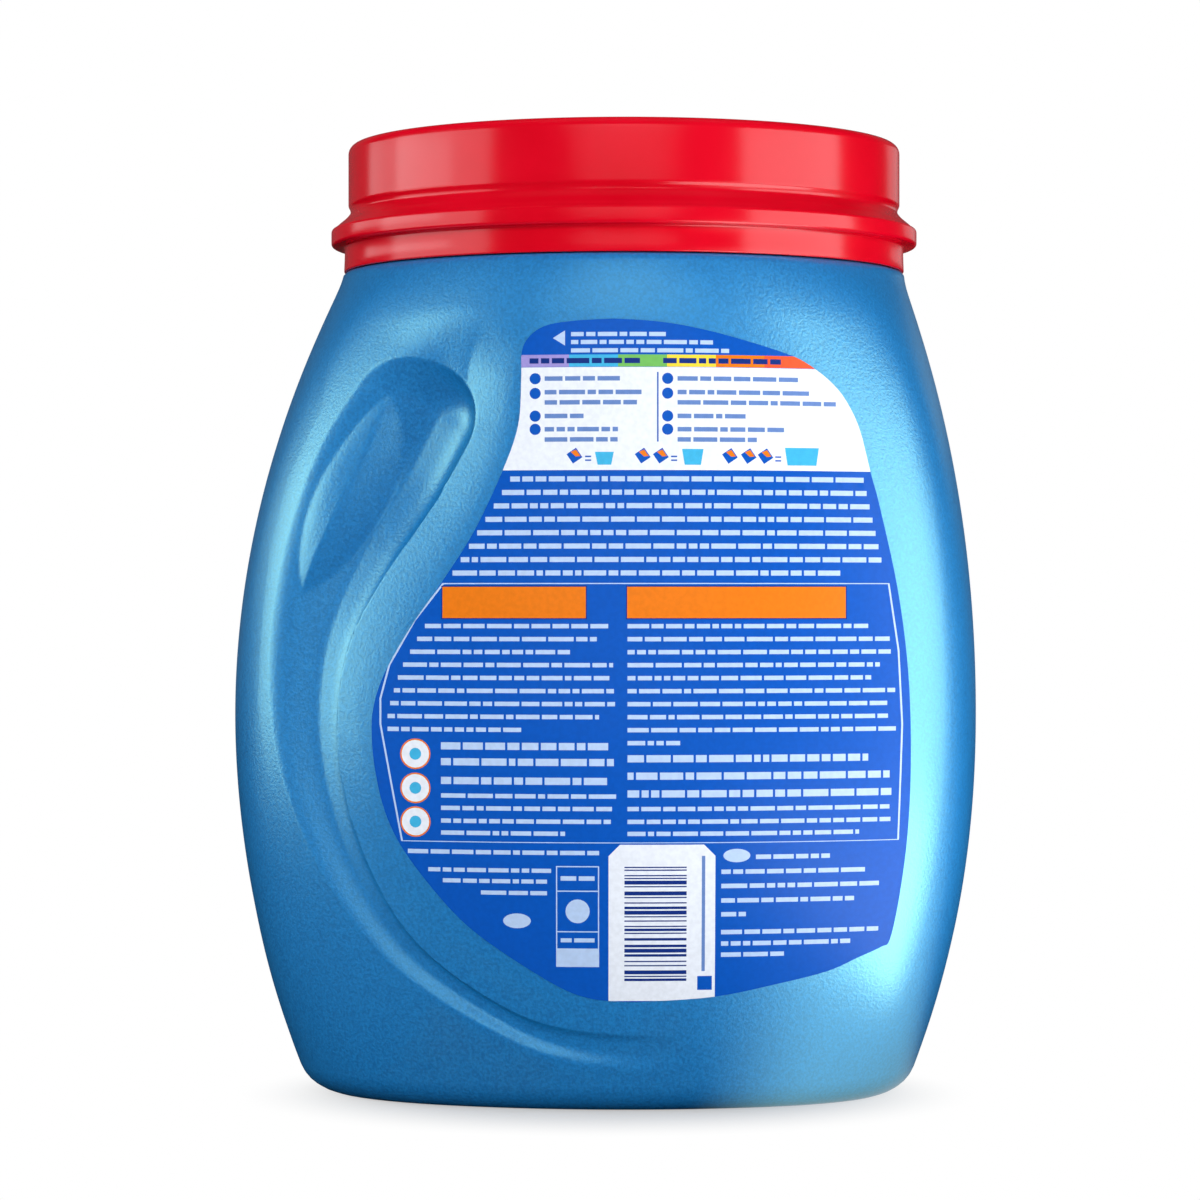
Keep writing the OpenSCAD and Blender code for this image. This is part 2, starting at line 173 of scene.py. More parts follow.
def nearest(x, z):
    """Distance, side, half width and depth of the channel's nearest place."""
    a, b = LINE[:-1], LINE[1:]
    run = b[:, :2] - a[:, :2]
    length2 = (run ** 2).sum(1)
    best = np.full(len(x), 1e9)
    out = np.zeros((4, len(x)))
    for i in range(len(a)):
        t = np.clip(((x - a[i, 0]) * run[i, 0] + (z - a[i, 1]) * run[i, 1]) / length2[i], 0, 1)
        dx = x - a[i, 0] - t * run[i, 0]
        dz = z - a[i, 1] - t * run[i, 1]
        d = np.hypot(dx, dz)
        closer = d < best
        best = np.where(closer, d, best)
        cross = (run[i, 0] * dz - run[i, 1] * dx) / np.maximum(np.sqrt(length2[i]) * d, 1e-6)
        out[0] = best
        out[1] = np.where(closer, cross, out[1])
        out[2] = np.where(closer, mix(a[i, 2], b[i, 2], t), out[2])
        out[3] = np.where(closer, mix(a[i, 3], b[i, 3], t), out[3])
    return out


def rib_at(x, z):
    run = RIB_FOOT - RIB_TOP
    t = ((x - RIB_TOP[0]) * run[0] + (z - RIB_TOP[1]) * run[1]) / (run @ run)
    off = (run[0] * (z - RIB_TOP[1]) - run[1] * (x - RIB_TOP[0])) / np.hypot(*run)
    leaf = np.where((t > 0) & (t < 1), np.sin(np.pi * np.clip(t, 1e-6, 1 - 1e-6)), 1e-6) ** LEAF_POWER
    return np.where((t > 0) & (t < 1),
                    RIB_HEIGHT * leaf * np.clip(1 - np.abs(off) / (RIB_HALF * leaf), 0, 1), 0)


# The label's left edge from the top down, as (x, z).
LABEL_EDGE = np.array([
    (-8, 208), (-18, 204), (-22.4, 196), (-23.2, 184), (-27.3, 172), (-34.9, 156), (-43.2, 143),
    (-52.3, 130), (-59.2, 117.8), (-62.1, 108.8), (-62.5, 100.7), (-61.5, 91.6), (-59.1, 81.6),
    (-54.9, 72.5), (-47.7, 62.6), (-38.7, 52.6)], float)


def lip(x, z):
    """Fall of the face from the label's left edge towards the grip."""
    best = np.full(len(x), 1e9)
    for (x0, z0), (x1, z1) in zip(LABEL_EDGE[:-1], LABEL_EDGE[1:]):
        run = (x1 - x0, z1 - z0)
        t = np.clip(((x - x0) * run[0] + (z - z0) * run[1]) / (run[0] ** 2 + run[1] ** 2), 0, 1)
        best = np.minimum(best, np.hypot(x - x0 - t * run[0], z - z0 - t * run[1]))
    left = x < np.interp(z, LABEL_EDGE[::-1, 1], LABEL_EDGE[::-1, 0])
    d = np.where(left, np.minimum(best, LIP_REACH), 0)
    ends = smooth((z - LIP_FOOT) / LIP_FOOT_RUN) * smooth((LIP_HEAD - z) / LIP_HEAD_RUN)
    ends = ends * mix(LIP_LOW_SHARE, 1, smooth((z - LIP_LOW) / LIP_LOW_RUN))
    return LIP_SLOPE * (np.sqrt(d ** 2 + LIP_ROUND ** 2) - LIP_ROUND) * ends


def relief(x, z, grow=0.0):
    d, side, width, depth = nearest(x, z)
    q = np.clip(d / (width + grow), 0, 1)
    inner = smooth((1 + side) / 2)
    slope = mix(1 - smooth(q), 1 - q ** CREST_POWER, CREST_SHARE)
    deep = depth * mix(slope, 1 - q ** EDGE_POWER, inner)
    deep = deep - np.minimum(deep, rib_at(x, z))
    # the face beside the label falls towards the channel
    beside = smooth(1 + side) * smooth((LIP_WIDTHS * width - d) / width)
    deep = np.maximum(deep, lip(x, z) * beside)
    plain = (x > SPINE[-1, 0] + SPINE[-1, 2]) | (z > SPINE[0, 1] + 2 * SPINE[0, 2])
    return np.where(plain, 0, deep)


def body_rows(rows, fans, grow=0.0):
    """Rings of points: rows is a list of (z, inset), fans gives the directions at a height."""
    phi = np.array([fans(z) for z, inset in rows])
    z = np.repeat(np.array([r[0] for r in rows])[:, None], phi.shape[1], 1)
    inset = np.repeat(np.array([r[1] for r in rows])[:, None], phi.shape[1], 1)
    r = edge_r(phi, z, inset)
    x = centre_x(z) + r * np.cos(phi)
    deep = relief(x.ravel(), z.ravel(), grow).reshape(x.shape)
    return np.stack([centre_x(z) + (r - deep) * np.cos(phi), (r - deep) * np.sin(phi), z], -1)


# Where the close rows of points start and end at each height, as (z, x).
STRIP_LEFT = np.array([
    (0, -60), (18, -59), (26, -60), (33, -63), (43.5, -70), (66.5, -83), (90, -92),
    (110, -95), (130, -94), (151, -92), (171, -87), (190, -77), (230, -74)], float)
STRIP_RIGHT = np.array([
    (0, 30), (18, 28), (26, -6), (33, -25), (43.5, -42), (66.5, -58), (90, -65),
    (110, -67), (130, -63), (151, -53), (171, -39), (190, -32), (207, -28), (230, -20)], float)


STRIP_REACH = 0.96          # how far round the side the close rows may start
CORNER_TURN = 40            # degrees of plain side each way from the middle of a side


def directions(z, side=20, plain=28, grip=84, far=18):
    """Angles round the body at height z, closest where the channel lies. The back mirrors the front."""
    reach = STRIP_REACH * half_w(z)

    def angle(x):
        return math.atan2(float(face_y(np.float64(x), np.float64(z))), x - float(centre_x(z)))
    left = angle(max(np.interp(z, STRIP_LEFT[:, 0], STRIP_LEFT[:, 1]), -reach)) + 2 * math.pi
    right = angle(np.interp(z, STRIP_RIGHT[:, 0], STRIP_RIGHT[:, 1])) + 2 * math.pi
    corner, full = math.radians(CORNER_TURN), 2 * math.pi

    def fan(a, b, n):
        return [mix(a, b, i / n) for i in range(n)]
    return (fan(-corner, corner, side) + fan(corner, full - right, plain)
            + fan(full - right, full - left, grip) + fan(full - left, left, far)
            + fan(left, right, grip) + fan(right, full - corner, plain))


# Mesh helpers
def grid_faces(first, n, rows):
    i = np.arange(n)
    out = []
    for r in range(rows - 1):
        a = first + r * n + i
        b = first + r * n + (i + 1) % n
        out.append(np.stack([a, b, b + n, a + n], 1))
    return np.concatenate(out)


def make(name, points, faces, material, sharp=35):
    """A mesh object from points in mm, smooth except where faces meet at more than sharp degrees."""
    mesh = bpy.data.meshes.new(name)
    mesh.from_pydata([tuple(p) for p in (np.asarray(points) * MM).tolist()], [],
                     [tuple(int(v) for v in f) for f in faces])
    mesh.validate()
    mesh.update()
    obj = bpy.data.objects.new(name, mesh)
    bpy.context.scene.collection.objects.link(obj)
    mesh.materials.append(material)
    mesh.polygons.foreach_set("use_smooth", [True] * len(mesh.polygons))
    mark_sharp(mesh, sharp)
    return obj


def mark_sharp(mesh, degrees):
    normals = np.zeros(len(mesh.polygons) * 3)
    mesh.polygons.foreach_get("normal", normals)
    normals = normals.reshape(-1, 3)
    edge_faces = {}
    for poly in mesh.polygons:
        for key in poly.edge_keys:
            edge_faces.setdefault(key, []).append(poly.index)
    limit = math.cos(math.radians(degrees))
    sharp = [False] * len(mesh.edges)
    for edge in mesh.edges:
        pair = edge_faces.get(tuple(sorted(edge.vertices)), [])
        if len(pair) == 2 and normals[pair[0]] @ normals[pair[1]] < limit:
            sharp[edge.index] = True
    layer = mesh.attributes.get("sharp_edge") or mesh.attributes.new("sharp_edge", "BOOLEAN", "EDGE")
    layer.data.foreach_set("value", sharp)


# Materials
def new_material(name):
    m = bpy.data.materials.new(name)
    m.use_nodes = True
    t = m.node_tree
    shader = t.nodes["Principled BSDF"]
    return m, t, shader


def add(tree, kind, **values):
    node = tree.nodes.new(kind)
    for key, value in values.items():
        if hasattr(node, key):
            setattr(node, key, value)
        else:
            node.inputs[key.replace("_", " ")].default_value = value
    return node


def ramp(tree, stops, source):
    node = tree.nodes.new("ShaderNodeValToRGB")
    while len(node.color_ramp.elements) < len(stops):
        node.color_ramp.elements.new(0.5)
    for element, (place, colour) in zip(node.color_ramp.elements, stops):
        element.position = place
        element.color = (*colour, 1)
    tree.links.new(source, node.inputs[0])
    return node.outputs[0]


def lin(r, g, b):
    """Display colour 0 to 255 to scene linear."""
    def one(c):
        c /= 255
        return c / 12.92 if c <= 0.04045 else ((c + 0.055) / 1.055) ** 2.4
    return (one(r), one(g), one(b))


def pearl_blue():
    """Deep blue under a cyan pearl: strong rough gloss, darker towards the edges through the coat."""
    m, t, s = new_material("pearl_blue_plastic")
    at = t.nodes.new("ShaderNodeTexCoord").outputs["Object"]
    fine = add(t, "ShaderNodeTexNoise", Scale=1250.0, Detail=2.0, Roughness=0.6)
    broad = add(t, "ShaderNodeTexNoise", Scale=28.0, Detail=3.0, Roughness=0.5)
    for node in (fine, broad):
        t.links.new(at, node.inputs["Vector"])
    base = ramp(t, [(0.36, (0.004, 0.225, 0.72)), (0.64, (0.010, 0.345, 0.98))], fine.outputs["Fac"])
    t.links.new(base, s.inputs["Base Color"])
    rough = t.nodes.new("ShaderNodeMapRange")
    rough.inputs["To Min"].default_value = 0.32
    rough.inputs["To Max"].default_value = 0.37
    t.links.new(broad.outputs["Fac"], rough.inputs["Value"])
    t.links.new(rough.outputs[0], s.inputs["Roughness"])
    bump = add(t, "ShaderNodeBump", Strength=0.42, Distance=0.0002)
    t.links.new(fine.outputs["Fac"], bump.inputs["Height"])
    t.links.new(bump.outputs[0], s.inputs["Normal"])
    s.inputs["IOR"].default_value = 2.5
    s.inputs["Specular IOR Level"].default_value = 1.0
    s.inputs["Specular Tint"].default_value = (0.42, 1.0, 0.9, 1)
    s.inputs["Coat Weight"].default_value = 1.0
    s.inputs["Coat Roughness"].default_value = 0.35
    s.inputs["Coat IOR"].default_value = 1.08
    s.inputs["Coat Tint"].default_value = (0.88, 0.82, 0.80, 1)
    return m


def gloss_red():
    m, t, s = new_material("gloss_red_plastic")
    at = t.nodes.new("ShaderNodeTexCoord").outputs["Object"]
    broad = add(t, "ShaderNodeTexNoise", Scale=45.0, Detail=3.0, Roughness=0.5)
    fine = add(t, "ShaderNodeTexNoise", Scale=900.0, Detail=2.0, Roughness=0.5)
    for node in (fine, broad):
        t.links.new(at, node.inputs["Vector"])
    base = ramp(t, [(0.3, lin(203, 0, 25)), (0.7, lin(212, 1, 31))], broad.outputs["Fac"])
    t.links.new(base, s.inputs["Base Color"])
    rough = t.nodes.new("ShaderNodeMapRange")
    rough.inputs["To Min"].default_value = 0.16
    rough.inputs["To Max"].default_value = 0.20
    t.links.new(broad.outputs["Fac"], rough.inputs["Value"])
    t.links.new(rough.outputs[0], s.inputs["Roughness"])
    bump = add(t, "ShaderNodeBump", Strength=0.02, Distance=0.0002)
    t.links.new(fine.outputs["Fac"], bump.inputs["Height"])
    t.links.new(bump.outputs[0], s.inputs["Normal"])
    s.inputs["IOR"].default_value = 1.5
    return m


def ink(name, colour, variation=0.04):
    """Printed film: the colour with a faint mottle and a soft sheen."""
    m, t, s = new_material(name)
    at = t.nodes.new("ShaderNodeTexCoord").outputs["Object"]
    grain = add(t, "ShaderNodeTexNoise", Scale=700.0, Detail=2.0, Roughness=0.5)
    broad = add(t, "ShaderNodeTexNoise", Scale=35.0, Detail=2.0, Roughness=0.5)
    for node in (grain, broad):
        t.links.new(at, node.inputs["Vector"])
    low = tuple(c * (1 - variation) for c in colour)
    high = tuple(min(1.0, c * (1 + variation)) for c in colour)
    t.links.new(ramp(t, [(0.35, low), (0.65, high)], grain.outputs["Fac"]), s.inputs["Base Color"])
    rough = t.nodes.new("ShaderNodeMapRange")
    rough.inputs["To Min"].default_value = 0.30
    rough.inputs["To Max"].default_value = 0.38
    t.links.new(broad.outputs["Fac"], rough.inputs["Value"])
    t.links.new(rough.outputs[0], s.inputs["Roughness"])
    bump = add(t, "ShaderNodeBump", Strength=0.05, Distance=0.0002)
    t.links.new(grain.outputs["Fac"], bump.inputs["Height"])
    t.links.new(bump.outputs[0], s.inputs["Normal"])
    s.inputs["IOR"].default_value = 1.46
    s.inputs["Specular IOR Level"].default_value = 0.25
    return m


BLUE = pearl_blue()
RED = gloss_red()
INK_BLUE = ink("ink_deep_blue", lin(0, 80, 178))


# Tub
def helix(phi, z, start, half, height, phase):
    """Height of a thread ridge at direction phi (radians, any turn) and height z."""
    out = np.zeros_like(phi + z)
    for k in range(int(math.ceil(THREAD_TURNS)) + 1):
        turn = ((phi - phase) % (2 * math.pi)) / (2 * math.pi) + k
        dz = np.abs(z - start - THREAD_PITCH * turn)
        flank = np.clip((half - dz) / (0.45 * half), 0, 1)
        fade = np.clip(turn / 0.05, 0, 1) * np.clip((THREAD_TURNS - turn) / 0.05, 0, 1)
        out = np.maximum(out, height * smooth(flank) * smooth(fade))
    return out


def make_tub():
    tail_z, arch_low = SPINE[7, 1] + 6.5, SPINE[0, 1] - 2
    arch_high = SPINE[0, 1] + SPINE[0, 2] + 3

    def climb(a, b, n):
        return [mix(a, b, i / n) for i in range(1, n + 1)]

    def heights(top, f):
        return (climb(BASE_ROUND, tail_z, int(84 * f)) + climb(tail_z, arch_low, int(96 * f))
                + climb(arch_low, arch_high, int(40 * f)) + climb(arch_high, top, int(18 * f)))

    def base_rows(t, steps):
        r = BASE_ROUND - t
        a = np.radians(np.linspace(0, 90, steps))
        slope = [(mix(PUSH_UP + t, t, s), mix(BASE_ROUND + FOOT_W + PUSH_RUN, BASE_ROUND + FOOT_W, k))
                 for k, s in ((u, float(smooth(u))) for u in np.linspace(0, 1, steps))]
        return slope + [(t + r * (1 - math.cos(v)), t + r * (1 - math.sin(v))) for v in a]
    outer = body_rows(base_rows(0, 7) + [(z, 0.0) for z in heights(SHOULDER_Z - LEDGE_ROUND, 1)], directions)
    # rounded edge of the ledge and the ledge itself
    phi = np.array(directions(SHOULDER_Z))
    rings = []
    for a in np.radians((30, 60, 90)):
        z = SHOULDER_Z - LEDGE_ROUND + LEDGE_ROUND * math.sin(a)
        r = edge_r(phi, SHOULDER_Z, LEDGE_ROUND * (1 - math.cos(a)))
        rings.append(np.stack([NECK_X + r * np.cos(phi), r * np.sin(phi), np.full_like(phi, z)], 1))

    def neck_ring(r, z):
        return np.stack([NECK_X + r * np.cos(phi), r * np.sin(phi), np.broadcast_to(z, phi.shape)], 1)
    rings.append(neck_ring(NECK_R + 0.8, SHOULDER_Z))
    rings.append(neck_ring(NECK_R + 0.25, SHOULDER_Z + 0.25))
    for z in np.linspace(SHOULDER_Z + 1, NECK_TOP - RIM_ROUND, 46):
        ridge = helix(phi, z, SHOULDER_Z + 11, NECK_RIDGE_HALF, NECK_RIDGE, NECK_THREAD_START)
        bead = 0.9 * smooth(np.clip((1.6 - abs(z - SHOULDER_Z - 5)) / 1.0, 0, 1))
        rings.append(neck_ring(NECK_R + np.maximum(ridge, bead), z))
    for a in np.radians((30, 60, 90)):
        rings.append(neck_ring(NECK_R - RIM_ROUND * (1 - math.cos(a)),
                               NECK_TOP - RIM_ROUND * (1 - math.sin(a))))
    for a in np.radians((90, 60, 30, 0)):
        rings.append(neck_ring(NECK_BORE + RIM_ROUND * (1 - math.cos(a)),
                               NECK_TOP - RIM_ROUND * (1 - math.sin(a))))
    rings.append(neck_ring(NECK_BORE, SHOULDER_Z - WALL + 1.5))
    rings.append(neck_ring(NECK_BORE + 0.5, SHOULDER_Z - WALL))
    outer = np.concatenate([outer, np.array(rings)])
    inner_rows = [(z, WALL) for z in heights(SHOULDER_Z - 2 * WALL, 0.35)][::-1]
    inner_rows += [(z, i) for z, i in base_rows(WALL, 5)][::-1]
    inner = body_rows(inner_rows, lambda z: directions(z)[::2], WALL)
    n, m = outer.shape[1], inner.shape[1]
    points = np.concatenate([outer.reshape(-1, 3), inner.reshape(-1, 3),
                             [[float(centre_x(0.0)), 0, PUSH_UP],
                              [float(centre_x(0.0)), 0, PUSH_UP + WALL]]])
    first_inner = outer.shape[0] * n
    tip = len(points) - 2
    faces = grid_faces(0, n, outer.shape[0]).tolist()
    faces += [[(i + 1) % n, i, tip] for i in range(n)]
    last = first_inner - n
    for i in range(m):
        a, b = last + 2 * i, last + (2 * i + 2) % n
        j = first_inner + (i + 1) % m
        faces += [[a, a + 1, first_inner + i], [a + 1, j, first_inner + i], [a + 1, b, j]]
    faces += grid_faces(first_inner, m, inner.shape[0]).tolist()
    end = first_inner + (inner.shape[0] - 1) * m
    faces += [[end + i, end + (i + 1) % m, tip + 1] for i in range(m)]
    return make("tub_moulding", points, faces, BLUE, sharp=50)


tub = make_tub()
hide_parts("tub")
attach(tub, "tub")


# Lid
def arc(cx, cz, r, a, b, n):
    return [(cx + r * math.cos(v), cz + r * math.sin(v)) for v in np.radians(np.linspace(a, b, n))]


def make_lid():
    foot = LID_FOOT
    flange_z = foot + 7.2
    flange_top = flange_z + 5
    waist_z = flange_top + 4.6
    profile = [(SKIRT_R + 1.35, foot + 0.25), (SKIRT_R + 1.6, foot)]
    profile += arc(COLLAR_R - 0.2, foot + 0.4, 0.4, -90, 0, 4)
    profile += [(COLLAR_R + 0.1, foot + 3)]
    profile += arc(COLLAR_R + 0.6, flange_z - 0.6, 0.6, 180, 90, 4)
    profile += arc(FLANGE_R - 0.9, flange_z + 0.9, 0.9, -90, 0, 6)
    profile += arc(FLANGE_R - 1.1, flange_top - 1.1, 1.1, 0, 42, 5)
    profile += spline([(FLANGE_R - 0.9, flange_top - 0.1), (FLANGE_R - 2.1, flange_top + 1.0),
                       (FLANGE_R - 3.8, flange_top + 2.4), (BAND_R - 0.15, flange_top + 3.7),
                       (BAND_R - 0.6, waist_z), (BAND_R - 0.45, waist_z + 1.0),
                       (BAND_R - 0.05, waist_z + 1.9), (BAND_R, waist_z + 2.8)], 4).tolist()[1:]
    profile += [(BAND_R, LID_TOP - 8)]
    profile += arc(BAND_R - CROWN_ROUND, LID_TOP - CROWN_ROUND, CROWN_ROUND, 0, 90, 9)
    rim = BAND_R - CROWN_RIM
    crown = LID_TOP - CROWN_STEP
    profile += arc(rim, LID_TOP - 0.6, 0.6, 90, 135, 3)
    profile += arc(rim - 1.2, crown + 0.45, 0.45, -45, -90, 3)
    profile += [(mix(rim - 1.7, 12, k), crown) for k in (0.05, 0.35, 0.7)]
    profile += [(6, crown), (3.4, crown - 0.05), (3.0, crown - 0.3), (1.2, crown - 0.3)]
    seal_foot = NECK_TOP - SEAL_HEIGHT
    ceiling = [(1.2, LID_CEILING), (20, LID_CEILING), (45, LID_CEILING),
              (SEAL_R - SEAL_T - 0.5, LID_CEILING), (SEAL_R - SEAL_T, LID_CEILING - 0.5),
              (SEAL_R - SEAL_T, seal_foot + 0.2), (SEAL_R - SEAL_T + 0.2, seal_foot),
              (SEAL_R - 0.5, seal_foot), (SEAL_R, seal_foot + 1.4), (SEAL_R, LID_CEILING - 0.3),
              (SEAL_R + 0.3, LID_CEILING), (SKIRT_R - 0.8, LID_CEILING), (SKIRT_R, LID_CEILING - 0.8)]
    thread_top = LID_CEILING - 1.5
    thread = [(SKIRT_R, float(z)) for z in np.linspace(thread_top, flange_top + 1.6, 44)]
    below = [(SKIRT_R, flange_top + 1.2), (SKIRT_R + 1.0, flange_top)]
    below += [(SKIRT_R + 1.05, foot + 3)]
    profile = profile + ceiling + thread + below
    n = 256
    phi = np.linspace(0, 2 * math.pi, n, endpoint=False)
    rings = []
    for i, (r, z) in enumerate(profile):
        radius = np.full(n, r)
        if thread_top >= z >= flange_top + 1.6 and r == SKIRT_R:
            radius = radius - helix(phi, np.float64(z), flange_top + 3.6,
                                    LID_RIDGE_HALF, LID_RIDGE, LID_THREAD_START)
        rings.append(np.stack([NECK_X + radius * np.cos(phi), radius * np.sin(phi), np.full(n, z)], 1))
    k = len(rings)
    split = next(i for i, (r, z) in enumerate(profile) if (r, z) == ceiling[0])
    top_tip, low_tip = k * n, k * n + 1
    points = np.concatenate(rings + [[[NECK_X, 0, LID_TOP - 1.5], [NECK_X, 0, LID_CEILING]]])
    faces = grid_faces(0, n, split).tolist()
    a = (split - 1) * n
    faces += [[a + i, a + (i + 1) % n, top_tip] for i in range(n)]
    b = split * n
    faces += [[b + (i + 1) % n, b + i, low_tip] for i in range(n)]
    faces += grid_faces(b, n, k - split).tolist()
    c = (k - 1) * n
    faces += [[c + i, c + (i + 1) % n, (i + 1) % n, i] for i in range(n)]
    return make("lid_moulding", points, faces, RED, sharp=38)


lid = make_lid()
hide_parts("lid")
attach(lid, "lid")


# Label film and its print
# The film's outline from the foot up, as (z, x).
LABEL_LEFT = [
    (30.8, 5), (31.6, -4), (35, -13), (44.7, -28.6), (52.6, -38.7), (62.6, -47.7),
    (72.5, -54.9), (81.6, -59.1), (91.6, -61.5), (100.7, -62.5), (108.8, -62.1),
    (117.8, -59.2), (130, -52.3), (143, -43.2), (156, -34.9), (172, -27.3), (184, -23.2),
    (196, -22.4), (203, -22.3), (207, -20.6), (210, -16.5), (211.3, -10)]
LABEL_RIGHT = [
    (32, 29), (35, 45), (38.2, 59.2), (41.7, 67.7), (44.4, 74.2), (46.3, 76.5),
    (57.7, 78.9), (74.7, 81), (94.8, 81.8), (117.9, 81.1), (140, 78.3), (162, 73.5),
    (172, 70.8), (183, 68), (190, 64.8), (195, 61), (199.7, 55.1), (203, 48.5),
    (207.5, 33), (210, 22), (211.3, 13)]
OUTLINE = spline([(x, z) for z, x in LABEL_LEFT] + [(0, 211.9), (4, 211.9)]
                 + [(x, z) for z, x in LABEL_RIGHT[::-1]] + [(10, 30.8)], 5, closed=True)


def inside(polygon, x, z):
    """Which of the points lie inside the polygon."""
    a, b = np.asarray(polygon), np.roll(np.asarray(polygon), -1, axis=0)
    hit = np.zeros(len(x), bool)
    for (x0, z0), (x1, z1) in zip(a, b):
        if z0 != z1:
            crosses = (z0 > z) != (z1 > z)
            hit ^= crosses & (x < (x1 - x0) * (z - z0) / (z1 - z0) + x0)
    return hit


INKS = {
    "ground": INK_BLUE,
    "words": ink("ink_pale_blue", lin(174, 198, 232)),
    "white": ink("ink_white", lin(222, 228, 238)),
    "words_on_white": ink("ink_grey_blue", lin(96, 128, 186)),
    "deep": ink("ink_dark_blue", lin(12, 44, 120)),
    "lavender": ink("ink_lavender", lin(150, 140, 205)),
    "cyan": ink("ink_cyan", lin(60, 170, 215)),
    "green": ink("ink_green", lin(110, 180, 90)),
    "yellow": ink("ink_yellow", lin(235, 205, 60)),
    "orange": ink("ink_orange", lin(222, 116, 18)),
    "vermilion": ink("ink_vermilion", lin(225, 85, 45)),
}
SHAPES = []     # (ink name, polygon in mm as (x, z)), painted in this order
spacing = random.Random(7)


def field(name, x0, z0, x1, z1):
    SHAPES.append((name, [(x0, z0), (x1, z0), (x1, z1), (x0, z1)]))


def disc_field(name, x, z, rx, rz, n=24):
    turn = [2 * math.pi * i / n for i in range(n)]
    SHAPES.append((name, [(x + rx * math.cos(a), z + rz * math.sin(a)) for a in turn]))


def line_of_words(z, left, right, height=1.15, name="words", longest=7.0):
    """One line of copy as plain dashes of word length."""
    x = left
    while right - x > 0.8:
        end = min(x + spacing.uniform(1.6, longest), right)
        if right - end < 1.6:
            end = right
        field(name, x, z - height / 2, end, z + height / 2)
        x = end + 0.65


def print_cap():
    """Small arrow and three lines under the lid, with a strip of six colours."""
    SHAPES.append(("words", [(-14.0, 206.9), (-10.8, 204.9), (-10.8, 208.9)]))
    for z, right in ((207.9, 15.8), (205.8, 28.3), (203.6, 32.6)):
        line_of_words(z, -9.2, right, 1.1)
    colours = ("lavender", "cyan", "green", "yellow", "orange", "vermilion")
    left, right = -22.7, 55.0
    for i, name in enumerate(colours):
        x0 = mix(left, right, i / 6) - (8 if i == 0 else 0)
        x1 = mix(left, right, (i + 1) / 6) + (8 if i == 5 else 0)
        field(name, x0, 199.3, x1, 202.5)
    line_of_words(200.9, -20.2, 9.0, 1.4, "deep")
    line_of_words(200.9, 15.1, 46.5, 1.4, "deep")


def print_steps():
    """White panel across the film: two columns of lines with discs, and a row of pods and basins."""
    field("white", -34, 172.0, 84, 199.2)
    field("ground", 13.5, 179.5, 13.9, 197.9)
    for x in (-18.7, 16.3):
        for z in (196.2, 192.3, 186.3, 182.8):
            disc_field("ground", x, z, 1.5, 1.5, 16)
    for z, left_end, right_end in ((196.2, 3.7, 51.1), (192.6, 9.4, 54.1), (189.9, 8.2, 61.4),
                                   (186.3, -5.9, 37.0), (182.8, 3.2, 47.3), (180.1, 3.1, 40.0)):
        line_of_words(z, -16.2, left_end, 1.2, "words_on_white")
        line_of_words(z, 18.9, right_end, 1.2, "words_on_white")
    for x in (-8.3, 9.7, 14.5, 32.8, 37.8, 42.3):
        tilt = [(0.4, 2.1), (2.1, -0.4), (-0.4, -2.1), (-2.1, 0.4)]
        SHAPES.append(("ground", [(x + dx, 175.8 + dz) for dx, dz in tilt]))
        SHAPES.append(("orange", [(x + dx, 175.8 + dz) for dx, dz in
                                  ((0.4, 1.6), (1.6, -0.1), (0.3, -0.2), (-1.0, 1.0))]))
    for x in (-4.7, 18.0, 45.7):
        field("ground", x - 0.8, 175.4, x + 0.8, 175.8)
        field("ground", x - 0.8, 174.4, x + 0.8, 174.8)
    for x0, x1, top in ((-2.9, 2.1, 176.8), (20.1, 25.8, 177.6), (47.5, 56.7, 178.1)):
        SHAPES.append(("cyan", [(x0, top), (x0 + 0.7, 173.4), (x1 - 0.7, 173.4), (x1, top)]))


def print_copy():
    """Eight lines of copy that widen with the film."""
    for i in range(8):
        right = 68.9 + 0.8 * i if i < 7 else 62.4
        line_of_words(169.7 - 3.55 * i, -25.3 - 2.2 * i, right, 1.35)


